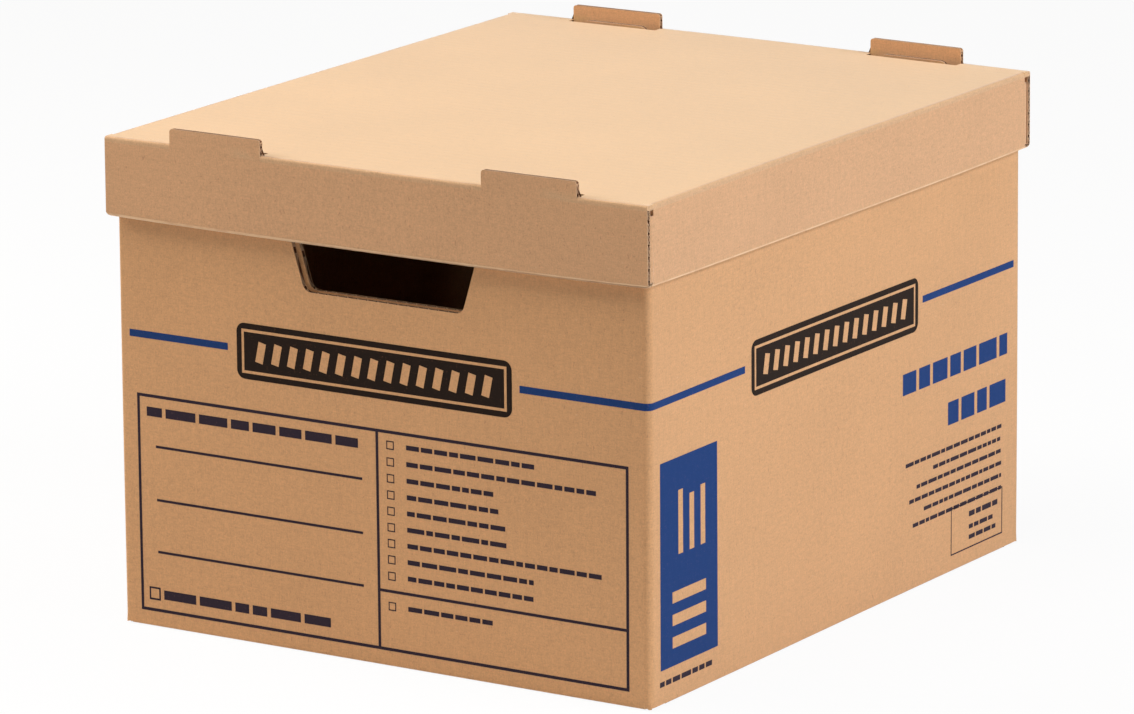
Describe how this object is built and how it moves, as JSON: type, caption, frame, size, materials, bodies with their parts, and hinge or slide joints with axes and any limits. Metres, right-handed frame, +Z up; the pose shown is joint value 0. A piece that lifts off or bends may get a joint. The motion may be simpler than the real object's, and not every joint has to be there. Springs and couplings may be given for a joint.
{
  "type": "moving box with lift-off lid",
  "caption": "Corrugated-board moving box with hand holes in its doubled end walls and a lift-off lid with upright stacking tabs.",
  "frame": {"origin": "middle of the underside of the box, on the surface it stands on", "axes": "+Z up; +Y along the long sides; -Y is the end that faces the camera, with a hand hole in it; +X is the long side at the right"},
  "size_m": [0.3368, 0.3992, 0.2748],
  "materials": {
    "body_board": "matte",
    "lid_board": "matte"
  },
  "bodies": {
    "box": {"box_body": "body_board"},
    "lid": {"lid": "lid_board"}
  },
  "joints": [
    {"name": "lid_lift", "type": "slide", "parent": "box", "child": "lid", "axis": [0, 0, 1], "range_m": [0, 0.2]}
  ]
}
